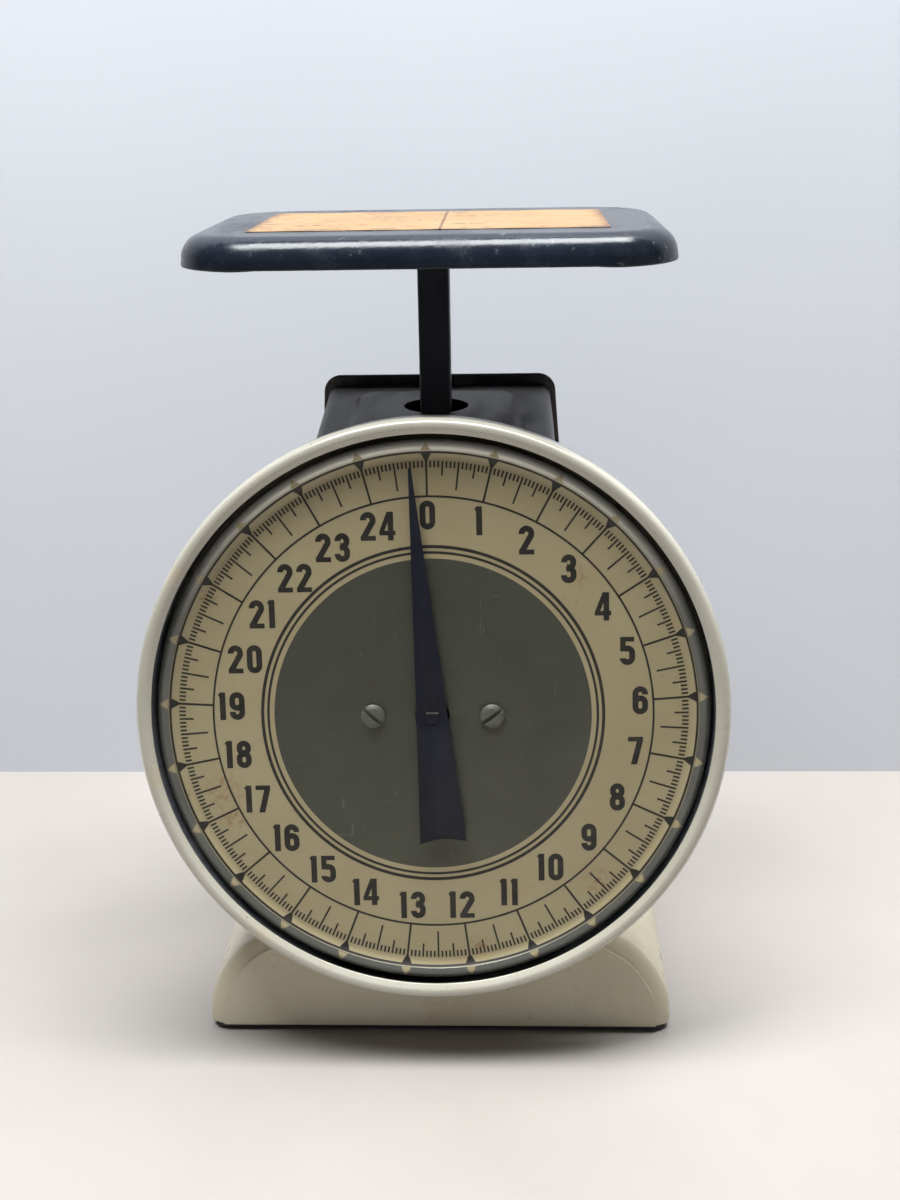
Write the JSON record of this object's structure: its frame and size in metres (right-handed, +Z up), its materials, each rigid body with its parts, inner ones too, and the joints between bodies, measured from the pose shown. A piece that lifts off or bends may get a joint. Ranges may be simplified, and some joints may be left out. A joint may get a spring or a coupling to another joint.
{
  "type": "platform spring scale",
  "caption": "Countertop spring scale with a flat platform on a square post, a round dial with one pointer leaning back on a flared body, and black top and rear covers.",
  "frame": {"origin": "on the bench plane under the feet, at the middle of the box round the whole scale seen from above; the post stands 11.63 mm behind it", "axes": "+Z up along the post, the dial faces -Y, +X to the right of someone reading the dial"},
  "size_m": [0.1704, 0.1324, 0.2398],
  "materials": {
    "cream_paint": "aged gloss cream enamel",
    "black_enamel": "worn gloss black enamel",
    "dial_print": "printed steel, cream with a grey centre and edge",
    "label_paper": "aged varnished paper",
    "lens_glass": "clear",
    "pointer_paint": "satin blue-black",
    "rubber": "matt",
    "wheel_plastic": "matt black",
    "brass_parts": "satin",
    "steel_parts": "zinc plated",
    "dial_screw_steel": "dulled plating",
    "spring_steel": "bright drawn wire"
  },
  "bodies": {
    "case": {"body_shell": "cream_paint", "top_cover": "black_enamel", "base_pan": "black_enamel", "rear_cover": "black_enamel", "foot_front_left": "rubber", "foot_front_right": "rubber", "foot_rear_left": "rubber", "foot_rear_right": "rubber", "rear_screw_low_left": "steel_parts", "rear_screw_low_right": "steel_parts", "rear_screw_high_left": "steel_parts", "rear_screw_high_right": "steel_parts", "dial_housing": "cream_paint", "bezel": "cream_paint", "lens": "lens_glass", "dial_plate": "dial_print", "dial_spacer_left": "steel_parts", "dial_spacer_right": "steel_parts", "dial_screw_left": "dial_screw_steel", "dial_screw_right": "dial_screw_steel", "shaft_bush_front": "brass_parts", "shaft_bush_rear": "brass_parts", "shaft_bridge": "steel_parts", "bridge_screw_low": "steel_parts", "bridge_screw_high": "steel_parts", "chassis": "steel_parts", "chassis_screw_front_left": "steel_parts", "chassis_screw_front_right": "steel_parts", "chassis_screw_rear_left": "steel_parts", "chassis_screw_rear_right": "steel_parts", "pivot_pin_upper": "steel_parts", "pivot_pin_lower": "steel_parts"},
    "platform": {"platform_tray": "black_enamel", "platform_label": "label_paper", "post_flange": "steel_parts", "rivet_front_left": "steel_parts", "rivet_front_right": "steel_parts", "rivet_rear_left": "steel_parts", "rivet_rear_right": "steel_parts", "post": "black_enamel", "load_bracket": "steel_parts", "rack": "brass_parts", "rack_screw": "steel_parts", "link_pin_upper": "steel_parts", "link_pin_lower": "steel_parts"},
    "pointer_unit": {"pointer": "pointer_paint", "pointer_hub": "brass_parts", "pointer_shaft": "steel_parts", "pinion": "brass_parts"},
    "upper_link_unit": {"upper_link": "steel_parts"},
    "lower_link_unit": {"lower_link": "steel_parts"},
    "hanger_unit": {"spring_hanger": "steel_parts", "main_spring_left": "spring_steel", "main_spring_right": "spring_steel"},
    "wheel_unit": {"zero_wheel": "wheel_plastic"}
  },
  "joints": [
    {"name": "platform_travel", "type": "slide", "parent": "case", "child": "platform", "axis": [0, 0, -1], "range_m": [0, 0.019], "stiffness_N_per_m": 5850, "springref_m": -0.0006, "deforming": ["main_spring_left", "main_spring_right"]},
    {"name": "pointer_turn", "type": "hinge", "parent": "case", "child": "pointer_unit", "pos_m": [0, -0.04837, 0.105], "axis": [0, 0.989, -0.1478], "range_deg": [0, 359.2]},
    {"name": "upper_link_swing", "type": "hinge", "parent": "case", "child": "upper_link_unit", "pos_m": [0, 0.03208, 0.1065], "axis": [1, 0, 0], "range_deg": [0, 37]},
    {"name": "lower_link_swing", "type": "hinge", "parent": "case", "child": "lower_link_unit", "pos_m": [0, 0.03208, 0.0545], "axis": [1, 0, 0], "range_deg": [0, 37]},
    {"name": "zero_wheel_turn", "type": "hinge", "parent": "case", "child": "wheel_unit", "pos_m": [0, 0.03163, 0.1548], "axis": [0, 0, 1], "range_deg": [-720, 720]},
    {"name": "hanger_lift", "type": "slide", "parent": "case", "child": "hanger_unit", "axis": [0, 0, 1], "range_m": [-0.00201, 0.00201]}
  ],
  "couplings": [
    {"joint": "pointer_turn", "follows": "platform_travel", "rad_per_m": 329.67},
    {"joint": "upper_link_swing", "follows": "platform_travel", "rad_per_m": 33.917},
    {"joint": "lower_link_swing", "follows": "platform_travel", "rad_per_m": 33.917},
    {"joint": "hanger_lift", "follows": "zero_wheel_turn", "m_per_rad": 0.00015915}
  ]
}
